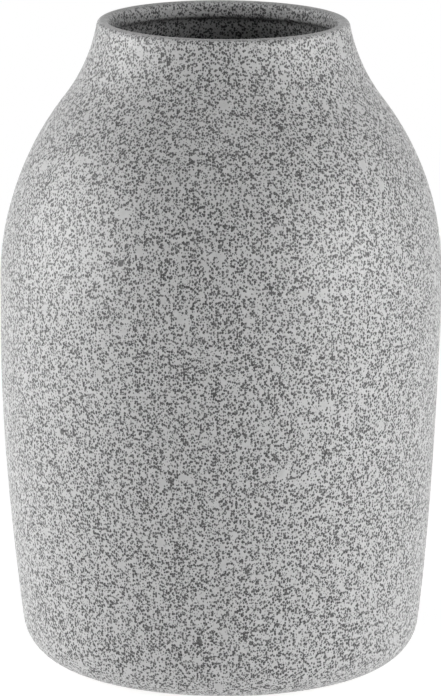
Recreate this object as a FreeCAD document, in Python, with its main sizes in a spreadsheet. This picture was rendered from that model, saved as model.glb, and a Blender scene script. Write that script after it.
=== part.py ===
import FreeCAD, Part
import Sketcher
import math
import os

# A wide-mouthed, shouldered stoneware vase: a fired clay body, a coat of speckled glaze
# outside, another inside, and felt pads under the foot ring.
# Millimetres and degrees. +Z is up, and the origin lies on the vase's axis, on the surface
# that the pads rest on. Inside each section, heights are taken from the clay's foot.

SIZES = (
    # The clay body outside
    ("belly_height", 179.6, "foot ring up to the widest girth"),
    ("crest_rise", 119.6, "widest girth up to the crest of the lip"),
    ("belly_radius", 101.5, "at the widest girth"),
    ("side_radius", 1362.0, "long curve from the belly down to the base"),
    ("base_corner_radius", 20.7, "round between the side and the foot"),
    ("neck_radius", 81.6, "hollow curve between the shoulder and the lip"),
    ("lip_lean", 10.7, "degrees that the neck leans in where it meets the lip"),
    # The clay body inside
    ("mouth_radius", 52.6, "inner face of the thick lip"),
    ("lip_thickness", 5.1, "rounded to half of this at the crest"),
    ("lip_depth", 6.2, "crest to the middle of the lip's lower round"),
    ("lip_edge_radius", 1.2, "round of the lip's lower edge"),
    ("lip_hollow_radius", 1.2, "hollow where the lip meets the thinner wall"),
    ("wall_thickness", 3.7, "side, shoulder and neck"),
    ("floor_thickness", 8.0, "foot plane to the floor inside"),
    ("floor_corner_radius", 14.0, "hollow between the floor and the side"),
    # The foot
    ("foot_ring_width", 12.0, "flat ring that is left bare of glaze"),
    ("foot_recess_depth", 2.2, "shallow hollow inside the foot ring"),
    ("foot_edge_radius", 0.9, "rounds at the rim of that hollow"),
    # The glaze
    ("glaze_thickness", 0.4, "each coat"),
    ("glaze_end_angle", 75.0, "degrees below level, round the base corner"),
    # The felt pads
    ("pad_diameter", 10.0, "disc"),
    ("pad_thickness", 1.5, "disc"),
    ("pad_edge_radius", 0.3, "soft lower edge"),
    ("pad_angle", 45.0, "degrees from +X to the first pad"),
)
PAD_COUNT = 4
FULL_TURN = 360.0
CLOSE_SHARE = 1e-4

# The sketcher's own indexes for the points of an arc or a line, the origin and the upright axis
START, END, CENTRE = range(1, 4)
ORIGIN = (-1, START)
UPRIGHT_AXIS_INDEX = -2

# Places that several sections share, as formulas of the sizes
CREST_Z = "(Sizes.belly_height + Sizes.crest_rise)"
LIP_X = "(Sizes.mouth_radius + Sizes.lip_thickness / 2)"
LIP_Z = f"({CREST_Z} - Sizes.lip_thickness / 2)"
LIP_EDGE_X = "(Sizes.mouth_radius + Sizes.lip_edge_radius)"
LIP_EDGE_Z = f"({CREST_Z} - Sizes.lip_depth)"
NECK_REACH = "(Sizes.neck_radius + Sizes.lip_thickness / 2)"
NECK_X = f"({LIP_X} + {NECK_REACH} * cos(Sizes.lip_lean))"
NECK_Z = f"({LIP_Z} + {NECK_REACH} * sin(Sizes.lip_lean))"
CORNER_REACH = "(Sizes.side_radius - Sizes.base_corner_radius)"
CORNER_DROP = "(Sizes.belly_height - Sizes.base_corner_radius)"
FOOT_RADIUS = f"(Sizes.belly_radius - Sizes.side_radius + sqrt({CORNER_REACH}^2 - {CORNER_DROP}^2))"
RECESS_RADIUS = f"({FOOT_RADIUS} - Sizes.foot_ring_width)"
PAD_RING_RADIUS = f"({FOOT_RADIUS} - Sizes.foot_ring_width / 2)"


def fill_sheet(doc):
    """The driving sizes, one row each: alias, value and what it measures."""
    sheet = doc.addObject("Spreadsheet::Sheet", "Sizes")
    for row, (alias, value, meaning) in enumerate(SIZES, start=1):
        sheet.set(f"A{row}", alias)
        sheet.set(f"B{row}", str(value))
        sheet.set(f"C{row}", meaning)
        sheet.setAlias(f"B{row}", alias)
    doc.recompute()
    return sheet


def value_of(owner, formula):
    """The number that a formula of the sizes gives."""
    return float(owner.evalExpression(formula))


def origin_plane(body, role):
    """One of the body's own origin planes."""
    for feature in body.Origin.OriginFeatures:
        if feature.Role == role:
            return feature
    raise RuntimeError(f"{body.Label} has no {role}")


def new_body(doc, label):
    body = doc.addObject("PartDesign::Body", label)
    body.Label = label
    return body


def new_sketch(body, name, role):
    """A sketch flat on one of the body's own origin planes."""
    sketch = body.newObject("Sketcher::SketchObject", name)
    sketch.AttachmentSupport = [(origin_plane(body, role), "")]
    sketch.MapMode = "FlatFace"
    return sketch


def bind(sketch, constraint, formula):
    """Adds a driving constraint and ties its value to a formula of the sizes."""
    kind, *places = constraint
    value = value_of(sketch, formula)
    if kind == "Angle":
        value = math.radians(value)
    index = sketch.addConstraint(Sketcher.Constraint(kind, *places, value))
    sketch.setExpression(f"Constraints[{index}]", formula)


def relate(sketch, *constraint):
    """Adds a constraint that has no value, such as a tangency."""
    sketch.addConstraint(Sketcher.Constraint(*constraint))


def add_arc(sketch, centre, radius, first_angle, last_angle):
    """An arc drawn from the first to the last angle, anticlockwise, in radians."""
    circle = Part.Circle(FreeCAD.Vector(*centre, 0), FreeCAD.Vector(0, 0, 1), radius)
    return sketch.addGeometry(Part.ArcOfCircle(circle, first_angle, last_angle), False)


def add_line(sketch, first, last):
    line = Part.LineSegment(FreeCAD.Vector(*first, 0), FreeCAD.Vector(*last, 0))
    return sketch.addGeometry(line, False)


def add_disc(sketch, radius_formula):
    """A full circle about the sketch's origin, whose radius is a formula of the sizes."""
    radius = value_of(sketch, radius_formula)
    circle = Part.Circle(FreeCAD.Vector(0, 0, 0), FreeCAD.Vector(0, 0, 1), radius)
    disc = sketch.addGeometry(circle, False)
    relate(sketch, "Coincident", disc, CENTRE, *ORIGIN)
    bind(sketch, ("Radius", disc), radius_formula)


def end_point(sketch, geometry, which):
    point = sketch.getPoint(geometry, which)
    return (point.x, point.y)


def angle_between(centre, point):
    return math.atan2(point[1] - centre[1], point[0] - centre[0])


def crossing(first_centre, first_radius, last_centre, last_radius):
    """The lower left point where two circles cross."""
    gap = math.dist(first_centre, last_centre)
    along = (gap ** 2 + first_radius ** 2 - last_radius ** 2) / (2 * gap)
    across = math.sqrt(first_radius ** 2 - along ** 2)
    step_x = (last_centre[0] - first_centre[0]) / gap
    step_z = (last_centre[1] - first_centre[1]) / gap
    return (first_centre[0] + along * step_x + across * step_z,
            first_centre[1] + along * step_z - across * step_x)


def place_centre_level(sketch, arc, z_formula):
    """Fixes the height of an arc's centre by a formula of the sizes."""
    bind(sketch, ("DistanceY", *ORIGIN, arc, CENTRE), z_formula)


def place_centre(sketch, arc, x_formula, z_formula):
    """Fixes an arc's centre at a place given by formulas of the sizes."""
    bind(sketch, ("DistanceX", *ORIGIN, arc, CENTRE), x_formula)
    place_centre_level(sketch, arc, z_formula)


def shoulder_size(sheet, neck_centre):
    """The shoulder's outer radius, which follows from the belly and the neck that it joins."""
    overhang = neck_centre[0] - sheet.belly_radius
    rise = neck_centre[1] - sheet.belly_height
    return (overhang ** 2 + rise ** 2 - sheet.neck_radius ** 2) / (2 * (sheet.neck_radius - overhang))


def wall_arcs(sketch, inset, corner_radius, corner_level, corner_start, neck_end):
    """The wall's four tangent arcs, corner, side, shoulder and neck, at an inset from the outer face.

    They are drawn where they belong, and then tied to the sizes."""
    depth = value_of(sketch, inset)
    sheet = sketch.Document.Sizes
    side_centre = (sheet.belly_radius - sheet.side_radius, sheet.belly_height)
    side_size = sheet.side_radius - depth
    neck_centre = (value_of(sketch, NECK_X), value_of(sketch, NECK_Z))
    neck_size = sheet.neck_radius + depth
    outer_size = shoulder_size(sheet, neck_centre)
    shoulder_centre = (sheet.belly_radius - outer_size, sheet.belly_height)
    shoulder_turn = angle_between(shoulder_centre, neck_centre)
    corner_size = value_of(sketch, corner_radius)
    corner_z = value_of(sketch, corner_level)
    drop = sheet.belly_height - corner_z
    corner_x = side_centre[0] + math.sqrt((side_size - corner_size) ** 2 - drop ** 2)
    corner_turn = angle_between(side_centre, (corner_x, corner_z))

    corner = add_arc(sketch, (corner_x, corner_z), corner_size, corner_start, corner_turn)
    side = add_arc(sketch, side_centre, side_size, corner_turn, 0)
    shoulder = add_arc(sketch, shoulder_centre, outer_size - depth, 0, shoulder_turn)
    neck = add_arc(sketch, neck_centre, neck_size, neck_end + math.pi, shoulder_turn + math.pi)

    bind(sketch, ("Radius", corner), corner_radius)
    place_centre_level(sketch, corner, corner_level)
    relate(sketch, "Tangent", corner, END, side, START)
    bind(sketch, ("Radius", side), f"Sizes.side_radius - {inset}")
    place_centre(sketch, side, "Sizes.belly_radius - Sizes.side_radius", "Sizes.belly_height")
    relate(sketch, "Horizontal", side, CENTRE, side, END)
    relate(sketch, "Tangent", side, END, shoulder, START)
    relate(sketch, "Tangent", shoulder, END, neck, END)
    bind(sketch, ("Radius", neck), f"Sizes.neck_radius + {inset}")
    place_centre(sketch, neck, NECK_X, NECK_Z)
    return corner, neck


def outside_chain(sketch, lift, corner_start):
    """The clay's outer face, or the glaze's at a lift from it, from the base corner to the lip."""
    raised = value_of(sketch, lift)
    lean = math.radians(value_of(sketch, "Sizes.lip_lean"))
    corner, neck = wall_arcs(sketch, f"(0 - {lift})", f"Sizes.base_corner_radius + {lift}",
                             "Sizes.base_corner_radius", corner_start, lean)
    lip_centre = (value_of(sketch, LIP_X), value_of(sketch, LIP_Z))
    lip_size = value_of(sketch, "Sizes.lip_thickness / 2") + raised
    lip = add_arc(sketch, lip_centre, lip_size, lean, math.pi / 2)
    relate(sketch, "Tangent", neck, START, lip, START)
    return corner, lip


def stop_at_crest(sketch, lip, lift):
    """Ends an outside chain on the crest of the lip, where the two coats meet."""
    bind(sketch, ("DistanceX", *ORIGIN, lip, CENTRE), LIP_X)
    bind(sketch, ("Radius", lip), f"Sizes.lip_thickness / 2 + {lift}")
    relate(sketch, "Vertical", lip, CENTRE, lip, END)


def inside_chain(sketch, lift):
    """The clay's inner face, or the glaze's at a lift from it, from the crest to the floor's middle."""
    sheet = sketch.Document.Sizes
    raised = value_of(sketch, lift)
    lip_centre = (value_of(sketch, LIP_X), value_of(sketch, LIP_Z))
    lip_size = sheet.lip_thickness / 2 + raised
    edge_size = sheet.lip_edge_radius + raised
    hollow_size = sheet.lip_hollow_radius - raised
    edge_centre = (value_of(sketch, LIP_EDGE_X), value_of(sketch, LIP_EDGE_Z))
    neck_centre = (value_of(sketch, NECK_X), value_of(sketch, NECK_Z))
    neck_size = sheet.neck_radius + sheet.wall_thickness + raised
    hollow_centre = crossing(edge_centre, edge_size + hollow_size, neck_centre, neck_size + hollow_size)
    hollow_start = angle_between(hollow_centre, neck_centre)
    hollow_end = angle_between(hollow_centre, edge_centre)

    lip = add_arc(sketch, lip_centre, lip_size, math.pi / 2, math.pi)
    edge = add_arc(sketch, edge_centre, edge_size, math.pi, math.pi + hollow_end)
    face = add_line(sketch, end_point(sketch, lip, END), end_point(sketch, edge, START))
    hollow = add_arc(sketch, hollow_centre, hollow_size, hollow_start, hollow_end)
    corner, neck = wall_arcs(sketch, f"(Sizes.wall_thickness + {lift})",
                             f"Sizes.floor_corner_radius - {lift}",
                             "Sizes.floor_thickness + Sizes.floor_corner_radius",
                             -math.pi / 2, hollow_start)
    floor_end = end_point(sketch, corner, START)
    floor = add_line(sketch, floor_end, (0, floor_end[1]))

    place_centre(sketch, lip, LIP_X, LIP_Z)
    bind(sketch, ("Radius", lip), f"Sizes.lip_thickness / 2 + {lift}")
    relate(sketch, "Vertical", lip, CENTRE, lip, START)
    relate(sketch, "Horizontal", lip, CENTRE, lip, END)
    relate(sketch, "Coincident", lip, END, face, START)
    relate(sketch, "Tangent", face, END, edge, START)
    bind(sketch, ("Radius", edge), f"Sizes.lip_edge_radius + {lift}")
    place_centre(sketch, edge, LIP_EDGE_X, LIP_EDGE_Z)
    relate(sketch, "Tangent", edge, END, hollow, END)
    bind(sketch, ("Radius", hollow), f"Sizes.lip_hollow_radius - {lift}")
    relate(sketch, "Tangent", hollow, START, neck, START)
    relate(sketch, "Tangent", corner, START, floor, START)
    relate(sketch, "Horizontal", floor)
    relate(sketch, "PointOnObject", floor, END, UPRIGHT_AXIS_INDEX)
    return lip, floor


def join_ends(sketch, first, first_end, last, last_end):
    """A straight edge from the end of one chain to the end of another."""
    line = add_line(sketch, end_point(sketch, first, first_end), end_point(sketch, last, last_end))
    relate(sketch, "Coincident", line, START, first, first_end)
    relate(sketch, "Coincident", line, END, last, last_end)
    return line


def revolve(body, sketch, name):
    """Turns a section once round the vase's axis."""
    turned = body.newObject("PartDesign::Revolution", name)
    turned.Profile = sketch
    turned.ReferenceAxis = (sketch, ["V_Axis"])
    turned.Angle = FULL_TURN
    return turned


def stand_on_pads(body):
    """Lifts a piece of the vase by the thickness of the pads."""
    body.setExpression("Placement.Base.z", "Sizes.pad_thickness")


def round_edges(body, name, base, edges, radius_formula):
    fillet = body.newObject("PartDesign::Fillet", name)
    fillet.Base = (base, edges)
    fillet.setExpression("Radius", radius_formula)
    return fillet


def circles_of_radius(shape, radius):
    """Names of the shape's round edges of one radius, about the upright axis."""
    names = []
    for number, edge in enumerate(shape.Edges, start=1):
        if not isinstance(edge.Curve, Part.Circle):
            continue
        if math.isclose(edge.Curve.Radius, radius, rel_tol=CLOSE_SHARE):
            names.append(f"Edge{number}")
    return names


def make_stoneware_body(doc):
    """The fired clay: one turned wall with its floor and thick lip, hollowed under the foot ring."""
    body = new_body(doc, "stoneware_body")
    section = new_sketch(body, "clay_section", "XZ_Plane")
    corner, outer_lip = outside_chain(section, "0", -math.pi / 2)
    inner_lip, floor = inside_chain(section, "0")
    relate(section, "Tangent", outer_lip, END, inner_lip, START)
    relate(section, "Vertical", corner, START, corner, CENTRE)
    foot = add_line(section, (0, 0), end_point(section, corner, START))
    relate(section, "Coincident", foot, START, *ORIGIN)
    relate(section, "Coincident", foot, END, corner, START)
    join_ends(section, floor, END, foot, START)
    revolve(body, section, "turned_wall")
    doc.recompute()
    full_volume = body.Shape.Volume

    outline = new_sketch(body, "recess_outline", "XY_Plane")
    add_disc(outline, RECESS_RADIUS)
    recess = body.newObject("PartDesign::Pocket", "foot_recess")
    recess.Profile = outline
    recess.Reversed = True
    recess.setExpression("Length", "Sizes.foot_recess_depth")
    doc.recompute()
    recess_radius = value_of(body, RECESS_RADIUS)
    recess_volume = math.pi * recess_radius ** 2 * doc.Sizes.foot_recess_depth
    if not math.isclose(full_volume - body.Shape.Volume, recess_volume, rel_tol=CLOSE_SHARE):
        raise RuntimeError("the foot recess isn't cut into the clay")
    edges = circles_of_radius(recess.Shape, recess_radius)
    round_edges(body, "foot_recess_rounds", recess, edges, "Sizes.foot_edge_radius")
    stand_on_pads(body)
    return body


def make_outer_glaze(doc):
    """The speckled coat outside, from the crest of the lip to the round of the base."""
    body = new_body(doc, "outer_glaze")
    section = new_sketch(body, "outer_glaze_section", "XZ_Plane")
    corner_start = -math.radians(value_of(section, "Sizes.glaze_end_angle"))
    under_corner, under_lip = outside_chain(section, "0", corner_start)
    face_corner, face_lip = outside_chain(section, "Sizes.glaze_thickness", corner_start)
    stop_at_crest(section, under_lip, "0")
    stop_at_crest(section, face_lip, "Sizes.glaze_thickness")
    join_ends(section, under_lip, END, face_lip, END)
    end = join_ends(section, under_corner, START, face_corner, START)
    relate(section, "PointOnObject", face_corner, CENTRE, end)
    bind(section, ("Angle", end), "0 - Sizes.glaze_end_angle")
    revolve(body, section, "outer_coat")
    stand_on_pads(body)
    return body


def make_inner_glaze(doc):
    """The coat inside, from the crest of the lip over the wall and the floor."""
    body = new_body(doc, "inner_glaze")
    section = new_sketch(body, "inner_glaze_section", "XZ_Plane")
    under_lip, under_floor = inside_chain(section, "0")
    face_lip, face_floor = inside_chain(section, "Sizes.glaze_thickness")
    join_ends(section, under_lip, START, face_lip, START)
    join_ends(section, under_floor, END, face_floor, END)
    revolve(body, section, "inner_coat")
    stand_on_pads(body)
    return body


def make_foot_pad(doc, number):
    """One felt disc, stuck to the bare foot ring."""
    body = new_body(doc, f"foot_pad_{number}")
    outline = new_sketch(body, f"pad_outline_{number}", "XY_Plane")
    add_disc(outline, "Sizes.pad_diameter / 2")
    felt = body.newObject("PartDesign::Pad", f"pad_disc_{number}")
    felt.Profile = outline
    felt.setExpression("Length", "Sizes.pad_thickness")
    doc.recompute()
    lower_edges = []
    for index, edge in enumerate(felt.Shape.Edges, start=1):
        if edge.BoundBox.ZMax < felt.Shape.BoundBox.Center.z:
            lower_edges.append(f"Edge{index}")
    round_edges(body, f"pad_edge_{number}", felt, lower_edges, "Sizes.pad_edge_radius")
    angle = f"(Sizes.pad_angle + {number - 1} * {FULL_TURN / PAD_COUNT})"
    body.setExpression("Placement.Base.x", f"{PAD_RING_RADIUS} * cos({angle})")
    body.setExpression("Placement.Base.y", f"{PAD_RING_RADIUS} * sin({angle})")
    return body


def check_document(doc, bodies):
    """Stops before anything is written if a feature failed or a piece isn't one whole solid."""
    for item in doc.Objects:
        if "Invalid" in item.State or "Error" in item.State:
            raise RuntimeError(f"{item.Label} failed: {item.State}")
        if item.TypeId == "Sketcher::SketchObject" and not item.FullyConstrained:
            raise RuntimeError(f"{item.Label} isn't fully constrained")
    for body in bodies:
        shape = body.Shape
        if shape.isNull() or not shape.isValid() or len(shape.Solids) != 1:
            raise RuntimeError(f"{body.Label} isn't one valid solid")


def write_pieces(bodies):
    os.makedirs("parts", exist_ok=True)
    for body in bodies:
        body.Shape.exportStep(os.path.join("parts", f"{body.Label}.step"))
        box = body.Shape.optimalBoundingBox(False, True)
        print(f"{body.Label}: volume {body.Shape.Volume:.1f}, "
              f"{box.XLength:.2f} x {box.YLength:.2f} x {box.ZLength:.2f}, from z {box.ZMin:.2f}")


document = FreeCAD.newDocument("stoneware_vase")
fill_sheet(document)
pieces = [make_stoneware_body(document), make_outer_glaze(document), make_inner_glaze(document)]
pieces += [make_foot_pad(document, number + 1) for number in range(PAD_COUNT)]
document.recompute()
check_document(document, pieces)
write_pieces(pieces)
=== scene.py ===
import math

import bpy
from mathutils import Matrix, Vector, noise


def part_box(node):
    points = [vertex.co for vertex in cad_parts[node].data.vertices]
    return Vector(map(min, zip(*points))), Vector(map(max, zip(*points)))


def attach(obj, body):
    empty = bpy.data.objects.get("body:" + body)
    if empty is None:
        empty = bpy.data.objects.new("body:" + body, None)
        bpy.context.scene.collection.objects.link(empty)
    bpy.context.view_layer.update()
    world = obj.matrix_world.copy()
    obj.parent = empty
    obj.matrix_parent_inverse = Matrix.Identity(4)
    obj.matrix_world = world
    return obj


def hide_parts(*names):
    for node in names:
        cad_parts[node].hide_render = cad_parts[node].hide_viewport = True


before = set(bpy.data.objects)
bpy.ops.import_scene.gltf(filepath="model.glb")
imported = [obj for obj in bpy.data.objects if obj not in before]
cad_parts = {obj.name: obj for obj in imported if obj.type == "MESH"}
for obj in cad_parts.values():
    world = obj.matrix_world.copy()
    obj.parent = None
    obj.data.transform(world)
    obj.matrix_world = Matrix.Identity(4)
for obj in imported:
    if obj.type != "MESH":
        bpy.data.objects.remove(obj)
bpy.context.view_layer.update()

# The clay body. One turned wall of grey-buff stoneware with a thick round lip, a floor and a foot
# ring, fired hard. Only its underside stays bare of glaze. Lengths are in metres. The wall came out
# of the kiln a little bowed, so that its middle stands to one side of its foot and its lip.
clay_low, clay_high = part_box("stoneware_body")
foot_level = clay_low.z
crest_level = clay_high.z
belly_radius = clay_high.x
belly_height = 0.1796
side_curve = 1.362
base_round = 0.0207
neck_hollow = 0.0816
neck_lean = math.radians(10.7)
mouth_radius = 0.0526
lip_thickness = 0.0051
lip_depth = 0.0062
lip_edge_round = 0.0012
lip_hollow_round = 0.0012
wall_thickness = 0.0037
floor_thickness = 0.008
floor_round = 0.014
foot_ring_width = 0.012
recess_depth = 0.0022
recess_round = 0.0009
bow_level = 0.125
bow_half_length = 0.125
bow_depth = 0.0004
lower_swing = 0.0013
upper_swing = 0.001

longest_step = 0.003
widest_turn = math.radians(7)
turn_sides = 288
crease_angle = math.radians(40)
map_seam_angle = math.pi / 2
underside_map_end = 0.8
outside_map_end = 0.9


def polar(centre, radius, angle):
    """A point of a section, at an angle and a distance from a centre."""
    return (centre[0] + radius * math.cos(angle), centre[1] + radius * math.sin(angle))


def direction(first, last):
    """The angle of the line from one point of a section to another."""
    return math.atan2(last[1] - first[1], last[0] - first[0])


def arc(centre, radius, first, last):
    """Points along an arc of a section, close enough together to look round."""
    turn = abs(last - first)
    steps = math.ceil(max(turn / widest_turn, turn * radius / longest_step))
    return [polar(centre, radius, first + (last - first) * step / steps) for step in range(steps + 1)]


belly_level = foot_level + belly_height
lip_centre = (mouth_radius + lip_thickness / 2, crest_level - lip_thickness / 2)
neck_centre = polar(lip_centre, neck_hollow + lip_thickness / 2, neck_lean)
overhang = neck_centre[0] - belly_radius
rise = neck_centre[1] - belly_level
shoulder_curve = (overhang ** 2 + rise ** 2 - neck_hollow ** 2) / (2 * (neck_hollow - overhang))
shoulder_centre = (belly_radius - shoulder_curve, belly_level)
shoulder_turn = direction(shoulder_centre, neck_centre)
side_centre = (belly_radius - side_curve, belly_level)


def wall_face(depth, corner_radius, corner_level, corner_start, neck_end):
    """One face of the wall, at a depth behind the clay's outer face, from its lower corner to the lip."""
    reach = side_curve - depth - corner_radius
    corner_x = side_centre[0] + math.sqrt(reach ** 2 - (belly_level - corner_level) ** 2)
    corner_centre = (corner_x, corner_level)
    corner_turn = direction(side_centre, corner_centre)
    corner = arc(corner_centre, corner_radius, corner_start, corner_turn)
    side = arc(side_centre, side_curve - depth, corner_turn, 0)
    shoulder = arc(shoulder_centre, shoulder_curve - depth, 0, shoulder_turn)
    neck = arc(neck_centre, neck_hollow + depth, shoulder_turn + math.pi, neck_end + math.pi)
    return corner + side[1:] + shoulder[1:] + neck[1:]


def outer_face(lift, corner_start):
    """The clay's outer face, or the glaze's at a lift from it, from the base up to the crest."""
    wall = wall_face(-lift, base_round + lift, foot_level + base_round, corner_start, neck_lean)
    lip = arc(lip_centre, lip_thickness / 2 + lift, neck_lean, math.pi / 2)
    return wall + lip[1:]


def inner_face(lift):
    """The clay's inner face, or the glaze's at a lift from it, from the crest to the floor's middle."""
    edge_centre = (mouth_radius + lip_edge_round, crest_level - lip_depth)
    edge_radius = lip_edge_round + lift
    hollow_radius = lip_hollow_round - lift
    hollow_reach = edge_radius + hollow_radius
    neck_reach = neck_hollow + wall_thickness + lift + hollow_radius
    gap = math.dist(edge_centre, neck_centre)
    corner_angle = math.acos((gap ** 2 + hollow_reach ** 2 - neck_reach ** 2) / (2 * gap * hollow_reach))
    hollow_centre = polar(edge_centre, hollow_reach, direction(edge_centre, neck_centre) - corner_angle)
    hollow_start = direction(hollow_centre, neck_centre)
    hollow_end = direction(hollow_centre, edge_centre)
    lip = arc(lip_centre, lip_thickness / 2 + lift, math.pi / 2, math.pi)
    edge = arc(edge_centre, edge_radius, math.pi, math.pi + hollow_end)
    hollow = arc(hollow_centre, hollow_radius, hollow_end, hollow_start)
    wall = wall_face(wall_thickness + lift, floor_round - lift,
                     foot_level + floor_thickness + floor_round, -math.pi / 2, hollow_start)
    wall.reverse()
    return lip + edge + hollow[1:] + wall[1:] + [(0, wall[-1][1])]


def bow(level):
    """How far the wall stands to one side at a level, which is least at the belly's full girth."""
    swing = lower_swing if level < bow_level else upper_swing
    wave = (1 - math.cos(math.pi * (level - bow_level) / bow_half_length)) / 2
    room = (level - belly_level) ** 2 / (2 * side_curve)
    return max(-room, min(room, swing * wave - bow_depth))


def new_piece(name, vertices, faces):
    """A smooth piece in the scene, creased only where its faces meet at a sharp angle."""
    mesh = bpy.data.meshes.new(name)
    mesh.from_pydata(vertices, [], faces)
    mesh.shade_smooth()
    mesh.set_sharp_from_angle(angle=crease_angle)
    piece = bpy.data.objects.new(name, mesh)
    bpy.context.scene.collection.objects.link(piece)
    return piece


def turned(name, stretches, closed=False):
    """A piece turned from a section. Each stretch is a run of points, a radius and a level each, and
    the lowest and highest share of the texture map that it fills."""
    section = []
    map_steps = []
    for points, map_low, map_high in stretches:
        travelled = [0.0]
        for first, last in zip(points, points[1:]):
            travelled.append(travelled[-1] + math.dist(first, last))
        heights = [map_low + (map_high - map_low) * way / travelled[-1] for way in travelled]
        map_steps += zip(heights, heights[1:])
        section += points[1:] if section else points
    if closed:
        section.pop()
    vertices = []
    rings = []
    for radius, level in section:
        count = turn_sides if radius > 0 else 1
        rings.append(range(len(vertices), len(vertices) + count))
        for side in range(count):
            angle = map_seam_angle + math.tau * side / turn_sides
            vertices.append((bow(level) + radius * math.cos(angle), radius * math.sin(angle), level))
    if closed:
        rings.append(rings[0])
    faces = []
    corners = []
    for lower, upper, (map_low, map_high) in zip(rings, rings[1:], map_steps):
        if len(lower) == len(upper) == 1:
            continue
        for side in range(turn_sides):
            after = (side + 1) % turn_sides
            left = side / turn_sides
            right = (side + 1) / turn_sides
            middle = (left + right) / 2
            if len(lower) == 1:
                faces.append((lower[0], upper[after], upper[side]))
                corners += [(middle, map_low), (right, map_high), (left, map_high)]
            elif len(upper) == 1:
                faces.append((lower[side], lower[after], upper[0]))
                corners += [(left, map_low), (right, map_low), (middle, map_high)]
            else:
                faces.append((lower[side], lower[after], upper[after], upper[side]))
                corners += [(left, map_low), (right, map_low), (right, map_high), (left, map_high)]
    piece = new_piece(name, vertices, faces)
    layer = piece.data.uv_layers.new(name="OFBake")
    layer.uv.foreach_set("vector", [share for corner in corners for share in corner])
    return piece


def set_inputs(tree, node, inputs):
    """Sets a node's inputs to values, or links them to sockets."""
    for name, value in inputs.items():
        if isinstance(value, bpy.types.NodeSocket):
            tree.links.new(value, node.inputs[name])
        else:
            node.inputs[name].default_value = value


def add_node(tree, kind, inputs, **settings):
    """A node with its settings and its inputs."""
    node = tree.nodes.new(kind)
    for name, value in settings.items():
        setattr(node, name, value)
    set_inputs(tree, node, inputs)
    return node


def add_maths(tree, operation, *values):
    """The result of one step of arithmetic on values or sockets."""
    return add_node(tree, "ShaderNodeMath", dict(enumerate(values)), operation=operation).outputs[0]


def add_vector_maths(tree, operation, *values):
    """The result of one step of arithmetic on places or colours."""
    return add_node(tree, "ShaderNodeVectorMath", dict(enumerate(values)), operation=operation).outputs[0]


def add_ramp(tree, value, first, last, low=0.0, high=1.0, **settings):
    """A result that runs from low to high while a value runs from first to last."""
    return add_node(tree, "ShaderNodeMapRange", {
        "Value": value, "From Min": first, "From Max": last, "To Min": low, "To Max": high},
        **settings).outputs[0]


def blend_colours(tree, share, plain, full):
    """A colour that goes from plain to full as the share goes from 0 to 1."""
    return add_node(tree, "ShaderNodeMix", {"Factor": share, 6: plain, 7: full}, data_type="RGBA").outputs[2]


def new_group(name, inputs, outputs):
    """An empty node group, its input node and its output node."""
    group = bpy.data.node_groups.new(name, "ShaderNodeTree")
    for socket_name, kind in inputs:
        group.interface.new_socket(socket_name, in_out="INPUT", socket_type=kind)
    for socket_name, kind in outputs:
        group.interface.new_socket(socket_name, in_out="OUTPUT", socket_type=kind)
    return group, group.nodes.new("NodeGroupInput"), group.nodes.new("NodeGroupOutput")


def place_in_group(tree, group, inputs):
    """A node of a material that holds a group, with its inputs."""
    node = tree.nodes.new("ShaderNodeGroup")
    node.node_tree = group
    set_inputs(tree, node, inputs)
    return node


def new_material(name):
    """A material with its node tree and its surface shader."""
    material = bpy.data.materials.new(name)
    material.use_nodes = True
    return material, material.node_tree, material.node_tree.nodes["Principled BSDF"]


# Clay, glaze and felt all vary a little from patch to patch, in their colour and in their height.
noise_middle = 0.5
mottle, given, result = new_group(
    "mottle",
    [("Place", "NodeSocketVector"), ("Patches per metre", "NodeSocketFloat"),
     ("Depth", "NodeSocketFloat"), ("Colour", "NodeSocketColor")],
    [("Colour", "NodeSocketColor"), ("Height", "NodeSocketFloat")])
patch_height = add_node(mottle, "ShaderNodeTexNoise", {
    "Vector": given.outputs["Place"], "Scale": given.outputs["Patches per metre"],
    "Detail": 3.0, "Roughness": 0.55}).outputs["Fac"]
patch_change = add_maths(mottle, "SUBTRACT", patch_height, noise_middle)
patch_change = add_maths(mottle, "MULTIPLY", patch_change, given.outputs["Depth"])
patch_shade = add_maths(mottle, "ADD", patch_change, 1.0)
patch_colour = add_vector_maths(mottle, "MULTIPLY", given.outputs["Colour"], patch_shade)
mottle.links.new(patch_colour, result.inputs["Colour"])
mottle.links.new(patch_height, result.inputs["Height"])

clay_colour = (0.42, 0.385, 0.34, 1)
clay_roughness = 0.9
clay_relief = 0.0002
grog_colour = (0.2, 0.17, 0.14, 1)
grog_per_metre = 420.0
grog_size = 0.16
grog_core_size = 0.1
clay_material, clay_tree, clay_shader = new_material("bare_stoneware")
clay_place = add_node(clay_tree, "ShaderNodeTexCoord", {}).outputs["Object"]
clay_patches = place_in_group(clay_tree, mottle, {
    "Place": clay_place, "Patches per metre": 60.0, "Depth": 0.35, "Colour": clay_colour})
clay_grain = place_in_group(clay_tree, mottle, {
    "Place": clay_place, "Patches per metre": 1500.0, "Depth": 0.25,
    "Colour": clay_patches.outputs["Colour"]})
grog = add_node(clay_tree, "ShaderNodeTexVoronoi", {"Vector": clay_place, "Scale": grog_per_metre})
grog_mask = add_ramp(clay_tree, grog.outputs["Distance"], grog_size, grog_core_size)
clay_blend = blend_colours(clay_tree, grog_mask, clay_grain.outputs["Colour"], grog_colour)
clay_bump = add_node(clay_tree, "ShaderNodeBump", {
    "Strength": 0.6, "Distance": clay_relief, "Height": clay_grain.outputs["Height"]})
clay_tree.links.new(clay_blend, clay_shader.inputs["Base Color"])
clay_tree.links.new(clay_bump.outputs[0], clay_shader.inputs["Normal"])
clay_shader.inputs["Roughness"].default_value = clay_roughness

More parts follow.
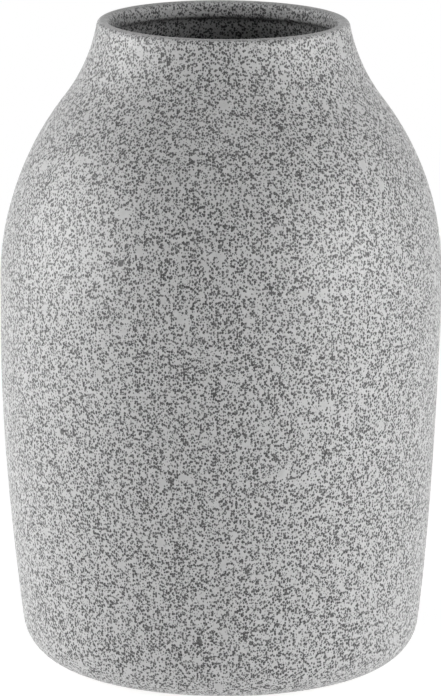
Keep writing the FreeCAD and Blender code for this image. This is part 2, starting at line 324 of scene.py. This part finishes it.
clay_outside = outer_face(0, -math.pi / 2)
foot_radius = clay_outside[0][0]
recess_radius = foot_radius - foot_ring_width
recess_level = foot_level + recess_depth
underside = [(0, recess_level)]
underside += arc((recess_radius - recess_round, recess_level - recess_round), recess_round, math.pi / 2, 0)
underside += arc((recess_radius + recess_round, foot_level + recess_round), recess_round,
                 math.pi, math.pi * 3 / 2)
underside.append((foot_radius, foot_level))
clay = turned("clay_wall", [
    (underside, 0.0, underside_map_end),
    (clay_outside, underside_map_end, outside_map_end),
    (inner_face(0), outside_map_end, 1.0)])
clay.data.materials.append(clay_material)
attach(clay, "root")
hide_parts("stoneware_body")

# The glaze. One satin-matt coat, pale grey and full of dark specks of metal oxide that have bled
# into short chains, with a few clots and bare spots. It was poured inside and sprayed outside. It is
# thin on the crest and was wiped off the underside. Under the lip's step its colour carries painted shade.
coat_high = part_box("outer_glaze")[1]
coat_thickness = coat_high.x - belly_radius
coat_end_angle = math.radians(-75)
glaze_colour = (0.53, 0.53, 0.53, 1)
glaze_roughness = 0.43
added_speck_roughness = 0.05
speck_relief = 0.00005
speck_colour = (0.012, 0.012, 0.012, 1)
specks_per_metre = (1060.0, 1060.0, 880.0)

# The sizes of specks, clots and bare spots are in spacings of the specks, which are about 1 mm.
bleeds_per_spacing = 1.1
bleed_reach = (0.5, 0.5, 0.5)
crowds_per_spacing = 0.4
speck_least_size = 0.098
speck_size_by_crowd = 0.42
speck_size_by_luck = 0.36
speck_edge_outside = -0.04
speck_edge_inside = 0.06
speck_least_strength = 0.72
speck_strength_by_luck = 0.25
spot_spacing = 9.5
clot_size_by_luck = 6.0
clot_least_size = -4.5
bare_size_by_luck = -5.0
bare_largest_size = 2.3
bare_soft_edge = 0.8
bare_size_loss = 0.5
bare_greyness = 0.1

# The specks melt into an even grey on the crest and pale at the foot. Under the lip's step the
# glaze is darkened by painted shade, a band that stands in for the step's shadow.
inner_fade_start = crest_level - 0.0013
outer_fade_start = crest_level - 0.0005
crest_fade_end = crest_level + 0.0002
lip_middle_radius = mouth_radius + lip_thickness / 2
lip_middle_spread = 0.0005
crest_fade = 0.75
crest_tone = 0.27
foot_fade_height = 0.004
foot_speck_strength = 0.75
# Painted shade: a band inside the mouth under the lip's step, blended toward the speck colour.
painted_shade_level = crest_level - lip_depth - 0.0016
painted_shade_half_height = 0.003
painted_shade_core_half_height = 0.0005
painted_shade_tone = 0.5
painted_shade_inside_radius = mouth_radius + 0.003
painted_shade_outside_radius = mouth_radius + 0.0035


def blend_values(tree, share, plain, full):
    """A value that goes from plain to full as the share goes from 0 to 1."""
    return add_node(tree, "ShaderNodeMix", {"Factor": share, 2: plain, 3: full}).outputs[0]


glaze_material, glaze_tree, glaze_shader = new_material("speckled_glaze")
glaze_place = add_node(glaze_tree, "ShaderNodeTexCoord", {}).outputs["Object"]
speck_place = add_vector_maths(glaze_tree, "MULTIPLY", glaze_place, specks_per_metre)
wander = add_node(glaze_tree, "ShaderNodeTexNoise", {
    "Vector": speck_place, "Scale": bleeds_per_spacing, "Detail": 1.0}).outputs["Color"]
wander = add_vector_maths(glaze_tree, "SUBTRACT", wander, (noise_middle, noise_middle, noise_middle))
bled_place = add_vector_maths(glaze_tree, "MULTIPLY_ADD", wander, bleed_reach, speck_place)
crowd = add_node(glaze_tree, "ShaderNodeTexNoise", {
    "Vector": speck_place, "Scale": crowds_per_spacing, "Detail": 1.0, "Roughness": 0.5}).outputs["Fac"]
specks = add_node(glaze_tree, "ShaderNodeTexVoronoi", {"Vector": bled_place, "Scale": 1.0}).outputs
speck_luck = add_node(glaze_tree, "ShaderNodeSeparateColor", {"Color": specks["Color"]}).outputs[0]
speck_size = add_maths(glaze_tree, "MULTIPLY_ADD", crowd, speck_size_by_crowd, speck_least_size)
speck_size = add_maths(glaze_tree, "MULTIPLY_ADD", speck_luck, speck_size_by_luck, speck_size)

spots = add_node(glaze_tree, "ShaderNodeTexVoronoi", {
    "Vector": bled_place, "Scale": 1 / spot_spacing}).outputs
spot_luck = add_node(glaze_tree, "ShaderNodeSeparateColor", {"Color": spots["Color"]}).outputs[0]
spot_distance = add_maths(glaze_tree, "MULTIPLY", spots["Distance"], spot_spacing)
clot_size = add_maths(glaze_tree, "MULTIPLY_ADD", spot_luck, clot_size_by_luck, clot_least_size)
clot_depth = add_maths(glaze_tree, "SUBTRACT", clot_size, spot_distance)
bare_size = add_maths(glaze_tree, "MULTIPLY_ADD", spot_luck, bare_size_by_luck, bare_largest_size)
bare_depth = add_maths(glaze_tree, "SUBTRACT", bare_size, spot_distance)
bare_part = add_ramp(glaze_tree, bare_depth, -bare_soft_edge, bare_soft_edge, 0.0, bare_size_loss)

speck_size = add_maths(glaze_tree, "SUBTRACT", speck_size, bare_part)
speck_depth = add_maths(glaze_tree, "SUBTRACT", speck_size, specks["Distance"])
speck_depth = add_maths(glaze_tree, "MAXIMUM", speck_depth, clot_depth)
speck_mask = add_ramp(glaze_tree, speck_depth, speck_edge_outside, speck_edge_inside,
                      interpolation_type="SMOOTHSTEP")
speck_strength = add_maths(glaze_tree, "MULTIPLY_ADD", speck_luck, speck_strength_by_luck,
                           speck_least_strength)

glaze_level = add_node(glaze_tree, "ShaderNodeSeparateXYZ", {"Vector": glaze_place}).outputs["Z"]
flat_place = add_vector_maths(glaze_tree, "MULTIPLY", glaze_place, (1, 1, 0))
axis_distance = add_node(glaze_tree, "ShaderNodeVectorMath", {0: flat_place},
                         operation="LENGTH").outputs["Value"]
crest_fade_start = add_ramp(
    glaze_tree, axis_distance, lip_middle_radius - lip_middle_spread,
    lip_middle_radius + lip_middle_spread, inner_fade_start, outer_fade_start)
crest_part = add_ramp(glaze_tree, glaze_level, crest_fade_start, crest_fade_end, 0.0, crest_fade)
foot_part = add_ramp(glaze_tree, glaze_level, foot_level, foot_level + foot_fade_height,
                     foot_speck_strength, 1.0)
speck_share = add_maths(glaze_tree, "MULTIPLY", speck_mask, speck_strength)
speck_share = add_maths(glaze_tree, "MULTIPLY", speck_share, foot_part)
speck_share = add_maths(glaze_tree, "MULTIPLY_ADD", bare_part, bare_greyness, speck_share)
speck_share = blend_values(glaze_tree, crest_part, speck_share, crest_tone)

# Painted shade under the lip's step, inside the mouth only, darkening the glaze toward the speck colour.
painted_shade_inside_part = add_ramp(glaze_tree, axis_distance, painted_shade_outside_radius, painted_shade_inside_radius)
painted_shade_distance = add_maths(glaze_tree, "ABSOLUTE", add_maths(glaze_tree, "SUBTRACT", glaze_level, painted_shade_level))
painted_shade_part = add_ramp(glaze_tree, painted_shade_distance, painted_shade_core_half_height, painted_shade_half_height, painted_shade_tone, 0.0)
painted_shade_part = add_maths(glaze_tree, "MULTIPLY", painted_shade_part, painted_shade_inside_part)
speck_share = blend_values(glaze_tree, painted_shade_part, speck_share, 1.0)

glaze_patches = place_in_group(glaze_tree, mottle, {
    "Place": glaze_place, "Patches per metre": 300.0, "Depth": 0.3, "Colour": glaze_colour})
glaze_blend = blend_colours(glaze_tree, speck_share, glaze_patches.outputs["Colour"], speck_colour)
glaze_dryness = add_maths(glaze_tree, "MULTIPLY_ADD", speck_share, added_speck_roughness, glaze_roughness)
glaze_height = add_maths(glaze_tree, "SUBTRACT", 1.0, speck_share)
glaze_bump = add_node(glaze_tree, "ShaderNodeBump", {
    "Strength": 0.3, "Distance": speck_relief, "Height": glaze_height})
glaze_tree.links.new(glaze_blend, glaze_shader.inputs["Base Color"])
glaze_tree.links.new(glaze_dryness, glaze_shader.inputs["Roughness"])
glaze_tree.links.new(glaze_bump.outputs[0], glaze_shader.inputs["Normal"])


def glaze_coat(name, under, shown, map_ends):
    """One coat between the clay's face and its own, closed round its two rims, and the shares of the
    texture map where its shown face, its first rim and its hidden face end."""
    shown_end, rim_end, under_end = map_ends
    return turned(name, [
        (shown, 0.0, shown_end),
        ([shown[-1], under[-1]], shown_end, rim_end),
        (under[::-1], rim_end, under_end),
        ([under[0], shown[0]], under_end, 1.0)], closed=True)


outside_coat = glaze_coat("glaze_outside", outer_face(0, coat_end_angle),
                          outer_face(coat_thickness, coat_end_angle), map_ends=(0.97, 0.975, 0.99))
inside_coat = glaze_coat("glaze_inside", inner_face(0), inner_face(coat_thickness),
                         map_ends=(0.98, 0.983, 0.997))
for coat, node in ((outside_coat, "outer_glaze"), (inside_coat, "inner_glaze")):
    coat.data.materials.append(glaze_material)
    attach(coat, "root")
    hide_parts(node)

# The foot pads. Four discs die-cut from dark grey pressed wool felt, stuck to the bare foot ring,
# so that the vase neither scratches the table nor rings on it. Their rims are a little ragged.
felt_colour = (0.3, 0.3, 0.29, 1)
felt_roughness = 0.95
felt_sheen = 0.4
felt_relief = 0.0002
pad_rim_round = 0.0003
pad_raggedness = 0.00012
pad_noise_spacing = 0.0009
pad_rag_sharpness = 4
pad_sides = 72
felt_material, felt_tree, felt_shader = new_material("pressed_felt")
felt_place = add_node(felt_tree, "ShaderNodeTexCoord", {}).outputs["Object"]
felt_patches = place_in_group(felt_tree, mottle, {
    "Place": felt_place, "Patches per metre": 700.0, "Depth": 0.8, "Colour": felt_colour})
fibres = add_node(felt_tree, "ShaderNodeTexWave", {
    "Vector": felt_place, "Scale": 900.0, "Distortion": 18.0, "Detail": 3.0, "Detail Scale": 2.0})
felt_height = add_maths(felt_tree, "ADD", fibres.outputs["Fac"], felt_patches.outputs["Height"])
felt_bump = add_node(felt_tree, "ShaderNodeBump", {
    "Strength": 0.8, "Distance": felt_relief, "Height": felt_height})
felt_tree.links.new(felt_patches.outputs["Colour"], felt_shader.inputs["Base Color"])
felt_tree.links.new(felt_bump.outputs[0], felt_shader.inputs["Normal"])
felt_shader.inputs["Roughness"].default_value = felt_roughness
felt_shader.inputs["Sheen Weight"].default_value = felt_sheen


def felt_disc(name, node):
    """One pad, in the place of its CAD node, made from the middle of its top to that of its underside."""
    low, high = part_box(node)
    centre = (low + high) / 2
    radius = (high.x - low.x) / 2
    round_centre = (radius - pad_rim_round, low.z + pad_rim_round)
    section = [(0, high.z), (radius / 2, high.z), (radius, high.z), (radius, centre.z)]
    section += arc(round_centre, pad_rim_round, 0, -math.pi / 2)
    section += [(radius / 2, low.z), (0, low.z)]
    vertices = []
    rings = []
    for ring_radius, ring_level in section:
        count = pad_sides if ring_radius > 0 else 1
        rings.append([len(vertices) + side % count for side in range(pad_sides + 1)])
        for side in range(count):
            angle = math.tau * side / pad_sides
            outward = Vector((math.cos(angle), math.sin(angle), 0))
            spot = Vector((centre.x, centre.y, ring_level)) + outward * ring_radius
            ragged = noise.noise(spot / pad_noise_spacing) - 1
            rim_share = (ring_radius / radius) ** pad_rag_sharpness
            vertices.append(spot + outward * ragged * pad_raggedness * rim_share)
    faces = []
    for upper, lower in zip(rings, rings[1:]):
        for side in range(pad_sides):
            corners = (upper[side + 1], upper[side], lower[side], lower[side + 1])
            faces.append(list(dict.fromkeys(corners)))
    return new_piece(name, vertices, faces)


for number in range(1, 5):
    pad = felt_disc(f"felt_disc_{number}", f"foot_pad_{number}")
    pad.data.materials.append(felt_material)
    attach(pad, "root")
    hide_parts(f"foot_pad_{number}")

# The floor and the light. A plain pale floor takes the vase's soft shadow, and a white surround shows
# past its edge and in the glaze's gloss. Two large soft lamps stand at the sides, a dim one behind and
# a small one above and in front. A weak one lies on the floor, as if the table were lit from inside.
floor_radius = 1.0
floor_level = -0.0001
floor_sides = 96
floor_colour = (0.88, 0.88, 0.88, 1)
white = (1, 1, 1, 1)
floor_veil = 0.6
floor_glow = 1.45
surround_level = 0.03
table_lamp_level = 0.0003
floor_mesh = bpy.data.meshes.new("floor")
floor_rim = [polar((0, 0), floor_radius, math.tau * side / floor_sides) for side in range(floor_sides)]
floor_mesh.from_pydata([(x, y, floor_level) for x, y in floor_rim], [], [range(floor_sides)])
floor = bpy.data.objects.new("floor", floor_mesh)
bpy.context.scene.collection.objects.link(floor)


def seen_directly(tree):
    """1 for what the camera sees directly, in a gloss or through glass, and otherwise 0."""
    path = add_node(tree, "ShaderNodeLightPath", {}).outputs
    gloss = add_maths(tree, "MAXIMUM", path["Is Glossy Ray"], path["Is Transmission Ray"])
    return add_maths(tree, "MAXIMUM", path["Is Camera Ray"], gloss)


floor_material, floor_tree, floor_shader = new_material("pale_floor")
floor_shader.inputs["Base Color"].default_value = floor_colour
floor_shader.inputs["Roughness"].default_value = 1.0
floor_shader.inputs["Specular IOR Level"].default_value = 0.0
veil = add_node(floor_tree, "ShaderNodeEmission", {"Color": white, "Strength": floor_glow})
floor_mix = add_node(floor_tree, "ShaderNodeMixShader", {
    0: add_maths(floor_tree, "MULTIPLY", seen_directly(floor_tree), floor_veil),
    1: floor_shader.outputs[0], 2: veil.outputs[0]})
floor_tree.links.new(floor_mix.outputs[0], floor_tree.nodes["Material Output"].inputs["Surface"])
floor.data.materials.append(floor_material)

world = bpy.data.worlds.new("surround")
bpy.context.scene.world = world
world.use_nodes = True
world_tree = world.node_tree
surround = world_tree.nodes["Background"]
surround.inputs["Color"].default_value = white
surround_strength = add_ramp(world_tree, seen_directly(world_tree), 0.0, 1.0, surround_level, 1.0)
world_tree.links.new(surround_strength, surround.inputs["Strength"])


def facing_from(place, target):
    """The place and the turn of a lamp or a camera that points from a place to a target."""
    turn = (Vector(target) - Vector(place)).to_track_quat("-Z", "Y").to_matrix().to_4x4()
    return Matrix.Translation(place) @ turn


def soft_lamp(name, place, width, height, brightness):
    """A flat lamp that shines from a place to the vase's middle. At 1 it is as bright as the surround."""
    lamp = bpy.data.lights.new(name, "AREA")
    lamp.shape = "RECTANGLE"
    lamp.size = width
    lamp.size_y = height
    lamp.energy = brightness * math.pi * width * height
    lamp_object = bpy.data.objects.new(name, lamp)
    lamp_object.matrix_world = facing_from(place, (0, 0, belly_level))
    lamp_object.visible_camera = False
    bpy.context.scene.collection.objects.link(lamp_object)
    return lamp_object


soft_lamp("lamp_left", (-1.1, -0.13, 0.35), width=1.1, height=0.7, brightness=4.85)
soft_lamp("lamp_right", (0.98, -0.49, 0.33), width=1.1, height=0.66, brightness=4.35)
lamp_back = soft_lamp("lamp_back", (0.1, 1.4, 0.2), width=2.0, height=0.4, brightness=1.5)
lamp_back.visible_glossy = False
soft_lamp("lamp_table", (0, 0, table_lamp_level), width=1.4, height=1.4, brightness=0.28)
soft_lamp("lamp_above", (0, -0.55, 1.5), width=0.5, height=0.4, brightness=5.2)

# The camera. It stands two and a half metres off with a long lens, and looks down on the vase by
# about thirteen degrees. It is tipped sideways by a fraction of a degree, as the photograph's was.
camera_distance = 2.4955
camera_elevation = math.radians(12.716)
camera_centre_level = 0.15
aim_level = 0.14704
aside = -0.00009
camera_roll = math.radians(0.3676)
camera_lens = 278.6
camera = bpy.data.objects.new("camera", bpy.data.cameras.new("camera"))
camera.data.lens = camera_lens
stand = Vector((aside, -camera_distance * math.cos(camera_elevation),
                camera_centre_level + camera_distance * math.sin(camera_elevation)))
camera.matrix_world = facing_from(stand, (aside, 0, aim_level)) @ Matrix.Rotation(camera_roll, 4, "Z")
bpy.context.scene.collection.objects.link(camera)
bpy.context.scene.camera = camera
bpy.context.scene.view_settings.view_transform = "Standard"

bpy.context.view_layer.update()
